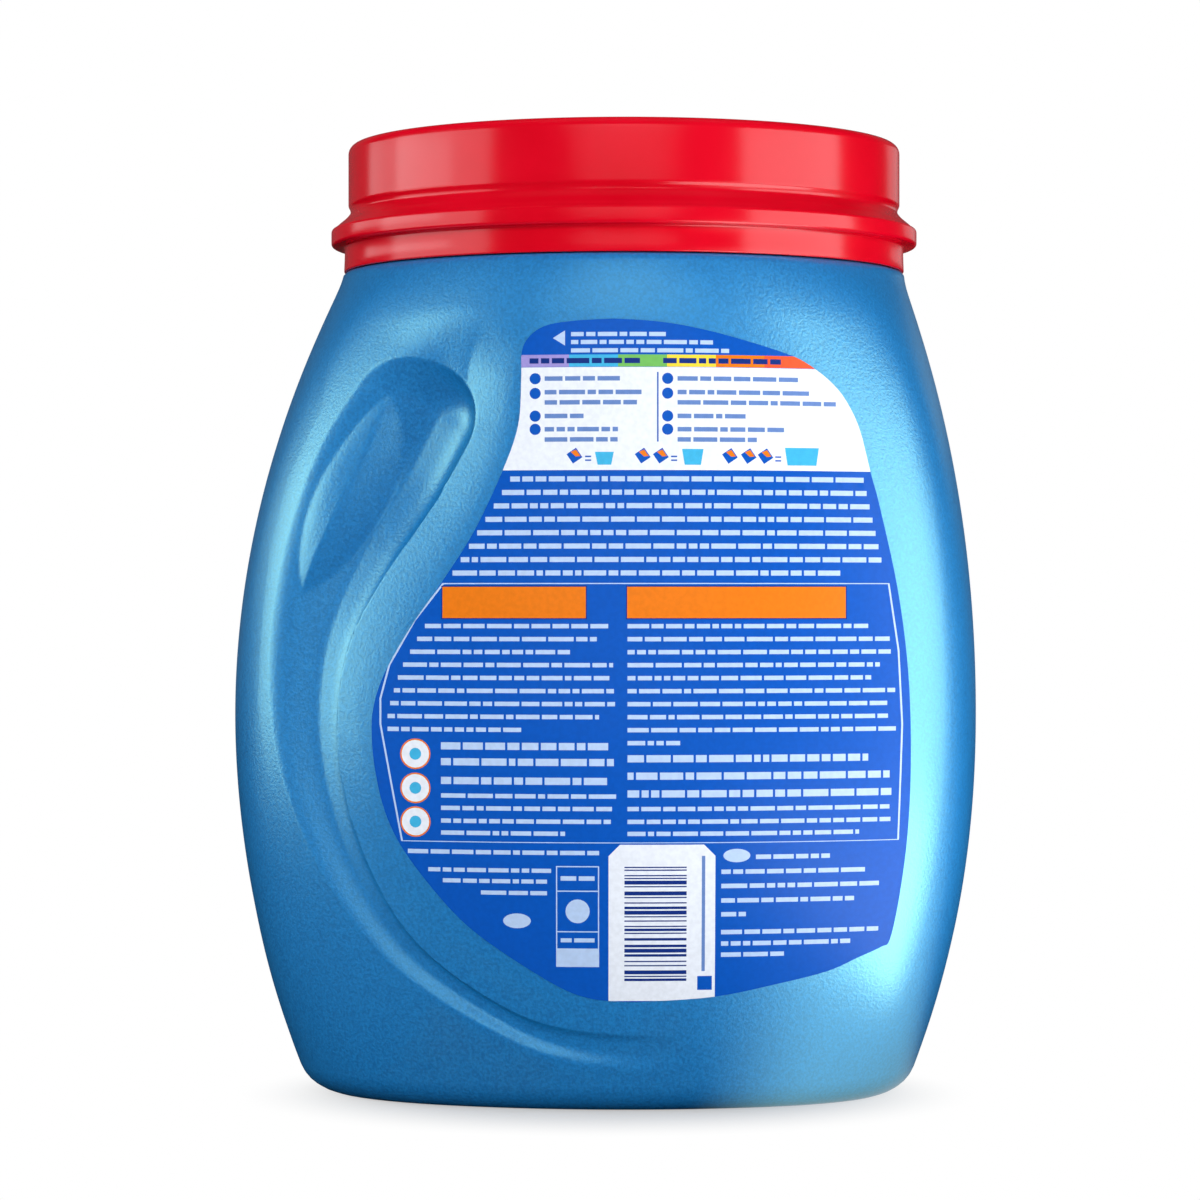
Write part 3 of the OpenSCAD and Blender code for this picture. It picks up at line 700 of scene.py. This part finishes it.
def print_box():
    """Thin white frame with two orange headings, two columns of lines and three white discs."""
    frame_line = [(75.9, 142.2), (78.6, 124.3), (79.6, 104.5), (78.6, 73.4), (-54.6, 73.4),
                  (-60.4, 104.6), (-60.4, 111.5), (-58.0, 120.4), (-51.1, 132.4), (-43.4, 142.2)]
    middle = np.array((10.0, 105.0))
    SHAPES.append(("words", frame_line))
    SHAPES.append(("ground", [tuple(np.array(p) + (middle - p) / np.hypot(*(middle - p)) * 0.5)
                              for p in frame_line]))
    for x0, x1 in ((-43.4, -5.3), (5.6, 63.9)):
        field("deep", x0 - 0.3, 132.6, x1 + 0.3, 141.5)
        field("orange", x0, 132.9, x1, 141.2)
    small = [130.8 - 3.43 * i for i in range(10)]
    left_rows = ((-48.1, 0.6), (-50.2, -2.4), (-52.1, -9.5), (-54.0, 1.9), (-55.4, 0.9),
                 (-56.5, 2.1), (-57.5, 2.4), (-58.2, -1.8), (-58.2, -22.4))
    right_ends = (70.0, 75.9, 76.2, 73.2, 70.8, 77.4, 75.2, 75.4, 77.6, 19.6)
    for z, (x0, x1) in zip(small, left_rows):
        line_of_words(z, x0, x1)
    for z, x1 in zip(small, right_ends):
        line_of_words(z, 5.7, x1)
    for z, x1 in ((99.0, 0.6), (94.8, 2.1), (89.8, 0.3)):
        line_of_words(z, -43.8, x1, 1.9)
    for z, x1 in ((95.8, 70.0), (91.2, 75.9), (86.5, 76.4)):
        line_of_words(z, 5.7, x1, 1.9)
    for z, left_end, right_end in ((85.8, 2.7, None), (82.5, 1.6, 75.9), (79.1, 1.3, 76.2),
                                   (75.9, -10.8, 67.6)):
        line_of_words(z, -43.8, left_end)
        if right_end:
            line_of_words(z, 5.7, right_end)
    for z in (96.8, 87.7, 78.7):
        disc_field("orange", -50.7, z, 4.1, 4.1)
        disc_field("white", -50.7, z, 3.7, 3.7)
        disc_field("cyan", -50.7, z, 1.6, 1.6, 16)


def print_foot():
    """Small print, a plain data box, a striped white panel and an address block."""
    line_of_words(70.8, -52.8, -1.8)
    for z, x0, x1 in ((66.0, -47.3, -14.5), (63.1, -43.4, -15.6), (60.0, -33.2, -15.6)):
        line_of_words(z, x0, x1, 1.1)
    disc_field("words", -23.6, 52.5, 3.7, 2.0)
    field("words", -13.2, 40.2, -1.8, 67.3)
    field("ground", -12.9, 45.2, -2.1, 67.0)
    for z in (60.6, 49.7):
        field("words", -12.9, z - 0.15, -2.1, z + 0.15)
    disc_field("words", -7.5, 55.2, 3.2, 3.2)
    line_of_words(64.0, -12.0, -3.0, 1.2)
    line_of_words(47.4, -12.0, -3.0, 1.1)
    panel = [(0.7, 31.0), (29.0, 31.0), (29.0, 70.0), (26.0, 73.0), (3.7, 73.0), (0.7, 70.0)]
    SHAPES.append(("white", panel))
    z = 36.4
    while z < 68.0:
        thick = spacing.choice((0.35, 0.35, 0.7, 1.05))
        field("deep", 4.9, z, 21.4, z + thick)
        z += thick + spacing.choice((0.4, 0.4, 0.8, 1.1))
    field("words_on_white", 25.4, 39.0, 26.3, 70.0)
    field("ground", 24.3, 33.9, 28.2, 37.7)
    disc_field("words", 34.7, 70.0, 3.6, 1.8)
    for z, x0, x1 in ((69.6, 39.8, 59.7), (65.7, 30.6, 69.3), (61.9, 30.6, 73.2), (58.0, 30.6, 66.4),
                      (54.3, 30.6, 37.2), (49.5, 30.6, 73.2), (46.4, 30.6, 65.5), (43.4, 30.6, 47.5)):
        line_of_words(z, x0, x1, 1.2)


for part in (print_cap, print_steps, print_copy, print_box, print_foot):
    part()


def stepped(polygon, step=4.0):
    """The polygon with its long edges divided, so that they follow the curved body."""
    out = []
    for (x0, z0), (x1, z1) in zip(polygon, polygon[1:] + polygon[:1]):
        n = max(1, math.ceil(math.hypot(x1 - x0, z1 - z0) / step))
        out += [(mix(x0, x1, i / n), mix(z0, z1, i / n)) for i in range(n)]
    return out


def film_triangles():
    """Points in mm and triangles of the flat film, with every field's outline as edges."""
    grid = [(x, z) for x in np.arange(-64, 84, 3.0) for z in np.arange(29, 213, 4.0)]
    gx, gz = np.array(grid).T
    keep = inside(OUTLINE, gx, gz)
    verts = [tuple(p) for p in OUTLINE] + [p for p, k in zip(grid, keep) if k]
    edges = [(i, (i + 1) % len(OUTLINE)) for i in range(len(OUTLINE))]
    for _, polygon in SHAPES:
        points = stepped(polygon)
        first = len(verts)
        verts += points
        edges += [(first + i, first + (i + 1) % len(points)) for i in range(len(points))]
    out, _, tris, _, _, _ = delaunay_2d_cdt([Vector(v) for v in verts], edges, [], 0, 1e-4)
    flat = np.array([tuple(v) for v in out])
    tris = np.array(tris)
    mid = flat[tris].mean(1)
    return flat, tris[inside(OUTLINE, mid[:, 0], mid[:, 1])]


def ink_numbers(flat, tris):
    """For each triangle the number of its ink, taken from the last field that covers it."""
    mid = flat[tris].mean(1)
    names = list(INKS)
    which = np.zeros(len(tris), int)
    for name, polygon in SHAPES:
        p = np.asarray(polygon)
        near = np.where((mid[:, 0] > p[:, 0].min()) & (mid[:, 0] < p[:, 0].max())
                        & (mid[:, 1] > p[:, 1].min()) & (mid[:, 1] < p[:, 1].max()))[0]
        if len(near):
            near = near[inside(p, mid[near, 0], mid[near, 1])]
            which[near] = names.index(name)
    return which


def make_label():
    flat, tris = film_triangles()
    which = ink_numbers(flat, tris)
    used, tris = np.unique(tris, return_inverse=True)
    tris = tris.reshape(-1, 3)
    flat = flat[used]
    a = flat[tris[:, 1]] - flat[tris[:, 0]]
    b = flat[tris[:, 2]] - flat[tris[:, 0]]
    turn = a[:, 0] * b[:, 1] - a[:, 1] * b[:, 0] < 0
    tris[turn] = tris[turn][:, ::-1]
    x, z = flat[:, 0], flat[:, 1]
    under = np.stack([x, face_y(x, z, FILM_UNDER), z], 1)
    over = np.stack([x, face_y(x, z, FILM_OVER), z], 1)
    n = len(flat)
    sides = dict.fromkeys((int(t[i]), int(t[(i + 1) % 3])) for t in tris for i in range(3))
    rim = [(i, j) for i, j in sides if (j, i) not in sides]
    faces = tris.tolist() + (tris[:, ::-1] + n).tolist() + [[j, i, i + n, j + n] for i, j in rim]
    film = make("label_film_back", np.concatenate([over, under]), faces, INK_BLUE, sharp=50)
    for name in list(INKS)[1:]:
        film.data.materials.append(INKS[name])
    index = which.tolist() + [0] * (len(film.data.polygons) - len(which))
    film.data.polygons.foreach_set("material_index", index)
    return film


label = make_label()
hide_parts("label_back")
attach(label, "tub")


# Stage, light and camera
def seen_directly(tree):
    """The Light Path node, and 1 for camera and transmission rays, which meet the white backdrop."""
    path = tree.nodes.new("ShaderNodeLightPath")
    direct = add(tree, "ShaderNodeMath", operation="MAXIMUM")
    tree.links.new(path.outputs["Is Camera Ray"], direct.inputs[0])
    tree.links.new(path.outputs["Is Transmission Ray"], direct.inputs[1])
    return path, direct.outputs[0]


def product(tree, a, b):
    node = add(tree, "ShaderNodeMath", operation="MULTIPLY")
    tree.links.new(a, node.inputs[0])
    tree.links.new(b, node.inputs[1])
    return node.outputs[0]


def eased(tree, source, from_min, from_max, to_min=0.0, to_max=1.0):
    """The source mapped through a soft step."""
    node = add(tree, "ShaderNodeMapRange", interpolation_type="SMOOTHSTEP")
    for key, value in (("From Min", from_min), ("From Max", from_max),
                       ("To Min", to_min), ("To Max", to_max)):
        node.inputs[key].default_value = value
    tree.links.new(source, node.inputs["Value"])
    return node.outputs[0]


FLOOR_SIZE = 4.0                        # half of the floor's side, in metres, as all below
FLOOR_TONE, FLOOR_BOUNCE = 0.6, 0.35    # the paint's grey to the camera and to diffuse rays
# painted shadow at the object's foot: how the grey patch is squashed and shifted forward, how far it runs,
# and how much white stays in it
SHADOW_SQUASH, SHADOW_FORWARD = 0.96, 0.015
SHADOW_RUN, SHADOW_SHARE = (0.05, 0.1), 0.45
# where the floor glows to glossy rays only, a painted reflection on the object's lower right:
PAINTED_REFLECTION_START, PAINTED_REFLECTION_END = (0.35, 0.85), (1.3, 2.0)   # radians round from the camera's side
ROOM = 0.25                             # the world's level in the diffuse light
GLOW_FRONT, GLOW_BEHIND = 0.01, 0.08    # and in the gloss


def make_floor():
    """Pale floor: white far from the object, with the object's real shadow near it, deepened by painted
    shadow as the floor turns greyer towards the object's foot; to glossy rays it glows on the right, a
    painted reflection.
    """
    mesh = bpy.data.meshes.new("floor")
    s = FLOOR_SIZE
    mesh.from_pydata([(-s, -s, 0), (s, -s, 0), (s, s, 0), (-s, s, 0)], [], [(0, 1, 2, 3)])
    obj = bpy.data.objects.new("floor", mesh)
    bpy.context.scene.collection.objects.link(obj)
    m = bpy.data.materials.new("pale_floor")
    m.use_nodes = True
    t = m.node_tree
    t.nodes.clear()
    out = t.nodes.new("ShaderNodeOutputMaterial")
    matt = t.nodes.new("ShaderNodeBsdfDiffuse")
    white = add(t, "ShaderNodeEmission", Strength=1.0)
    blend = t.nodes.new("ShaderNodeMixShader")
    path, direct = seen_directly(t)
    # the floor's grey is lighter to the camera than to diffuse rays, which dims its bounce light on the
    # object, and black to glossy rays, where only the painted reflection glow below is bright
    tone = add(t, "ShaderNodeMath", operation="MULTIPLY_ADD")
    tone.inputs[1].default_value = FLOOR_TONE
    bounce = add(t, "ShaderNodeMath", operation="MULTIPLY")
    bounce.inputs[1].default_value = FLOOR_BOUNCE
    t.links.new(path.outputs["Is Diffuse Ray"], bounce.inputs[0])
    t.links.new(direct, tone.inputs[0])
    t.links.new(bounce.outputs[0], tone.inputs[2])
    t.links.new(tone.outputs[0], matt.inputs["Color"])
    # to the camera it is painted greyer near the object's foot, a painted shadow over the real one, and
    # turns white just past it
    at = t.nodes.new("ShaderNodeTexCoord").outputs["Object"]
    flat = add(t, "ShaderNodeVectorMath", operation="MULTIPLY_ADD")
    flat.inputs[1].default_value = (SHADOW_SQUASH, 1.0, 0.0)
    flat.inputs[2].default_value = (0.0, SHADOW_FORWARD, 0.0)
    t.links.new(at, flat.inputs[0])
    far = add(t, "ShaderNodeVectorMath", operation="LENGTH")
    t.links.new(flat.outputs[0], far.inputs[0])
    run = eased(t, far.outputs["Value"], *SHADOW_RUN, SHADOW_SHARE, 1.0)
    share = product(t, run, direct)
    # to glossy rays the floor glows white on the right, below the large softbox, and is dim elsewhere: a
    # painted reflection on the object's lower right, as no lamp lights the floor so
    split = t.nodes.new("ShaderNodeSeparateXYZ")
    t.links.new(at, split.inputs[0])
    front = add(t, "ShaderNodeMath", operation="MULTIPLY")
    front.inputs[1].default_value = -1.0
    t.links.new(split.outputs["Y"], front.inputs[0])
    turn = add(t, "ShaderNodeMath", operation="ARCTAN2")
    t.links.new(split.outputs["X"], turn.inputs[0])
    t.links.new(front.outputs[0], turn.inputs[1])
    side = eased(t, turn.outputs[0], *PAINTED_REFLECTION_START)
    back = eased(t, turn.outputs[0], *PAINTED_REFLECTION_END, 1.0, 0.0)
    painted_reflection = product(t, product(t, side, back), path.outputs["Is Glossy Ray"])
    total = add(t, "ShaderNodeMath", operation="MAXIMUM")
    t.links.new(share, total.inputs[0])
    t.links.new(painted_reflection, total.inputs[1])
    t.links.new(total.outputs[0], blend.inputs[0])
    t.links.new(matt.outputs[0], blend.inputs[1])
    t.links.new(white.outputs[0], blend.inputs[2])
    t.links.new(blend.outputs[0], out.inputs[0])
    mesh.materials.append(m)


def make_world():
    """Dim room, a white backdrop for the camera, and a soft glow behind for the gloss."""
    world = bpy.data.worlds.new("studio")
    bpy.context.scene.world = world
    world.use_nodes = True
    t = world.node_tree
    t.nodes.clear()
    out = t.nodes.new("ShaderNodeOutputWorld")
    paper = t.nodes.new("ShaderNodeBackground")
    paper.inputs["Color"].default_value = (1, 1, 1, 1)
    path, direct = seen_directly(t)
    at = t.nodes.new("ShaderNodeTexCoord").outputs["Generated"]
    split = t.nodes.new("ShaderNodeSeparateXYZ")
    t.links.new(at, split.inputs[0])
    behind = eased(t, split.outputs["Y"], 0.6, 0.85, GLOW_FRONT, GLOW_BEHIND)
    # strength: 1 to the camera, the glow to glossy rays, the room's level to the rest
    room = add(t, "ShaderNodeMix", data_type="FLOAT")
    room.inputs[2].default_value = ROOM
    t.links.new(path.outputs["Is Glossy Ray"], room.inputs[0])
    t.links.new(behind, room.inputs[3])
    level = add(t, "ShaderNodeMix", data_type="FLOAT")
    level.inputs[3].default_value = 1.0
    t.links.new(direct, level.inputs[0])
    t.links.new(room.outputs[0], level.inputs[2])
    t.links.new(level.outputs[0], paper.inputs["Strength"])
    t.links.new(paper.outputs[0], out.inputs[0])


def softbox(name, place, target, size, power, glossy=True):
    """A rectangular lamp at a place, turned to a target. Where glossy is off, the gloss doesn't show it."""
    lamp = bpy.data.lights.new(name, "AREA")
    lamp.shape = "RECTANGLE"
    lamp.size, lamp.size_y = size
    lamp.energy = power
    obj = bpy.data.objects.new(name, lamp)
    bpy.context.scene.collection.objects.link(obj)
    obj.location = place
    obj.rotation_euler = (Vector(target) - Vector(place)).to_track_quat("-Z", "Y").to_euler()
    obj.visible_camera = False
    obj.visible_glossy = glossy


def around(azimuth, distance, height):
    """A place round the object: azimuth 0 is toward the camera, 90 to the right."""
    a = math.radians(azimuth)
    return (distance * math.sin(a), -distance * math.cos(a), height)


make_floor()
make_world()
softbox("top_softbox", (0.0, 0.0, 1.4), (0, 0, 0.15), (1.3, 1.1), 6.0, glossy=False)
softbox("right_softbox", around(72, 1.1, 0.24), (0, 0, 0.18), (1.0, 0.6), 4.9)
softbox("left_softbox", around(-80, 1.1, 0.26), (0, 0, 0.20), (1.05, 0.66), 3.9)
softbox("left_strip", around(-101, 1.1, 0.38), (0, 0, 0.25), (1.15, 0.16), 0.8)
softbox("right_strip", around(148, 1.1, 0.37), (0, 0, 0.25), (0.4, 0.16), 0.08)
softbox("right_card", (0.33, -0.22, 0.004), (0.33, -0.22, 1.0), (0.42, 0.34), 1.5)
softbox("front_sheen", (0.0, -2.2, 0.92), (0, 0, 0.2), (2.0, 0.24), 1.3)
softbox("front_fill", (0.0, -2.6, 0.75), (0, 0, 0.12), (1.8, 1.2), 46.0, glossy=False)
softbox("back_fill", (0.0, 2.6, 0.75), (0, 0, 0.12), (1.8, 1.2), 32.0, glossy=False)
softbox("side_fill_right", around(80, 1.3, 0.7), (0, 0, 0.12), (0.9, 0.6), 1.0, glossy=False)
softbox("side_fill_left", around(-88, 1.3, 0.7), (0, 0, 0.12), (0.9, 0.6), 3.6, glossy=False)

CAMERA_AT = (-0.00156, -1.176, 0.1377)
camera = bpy.data.cameras.new("camera")
camera.sensor_width = 36
camera.lens = 124.5
camera_object = bpy.data.objects.new("camera", camera)
bpy.context.scene.collection.objects.link(camera_object)
camera_object.location = CAMERA_AT
camera_object.rotation_euler = (math.pi / 2, 0, 0)
bpy.context.scene.camera = camera_object
bpy.context.scene.view_settings.view_transform = "Standard"
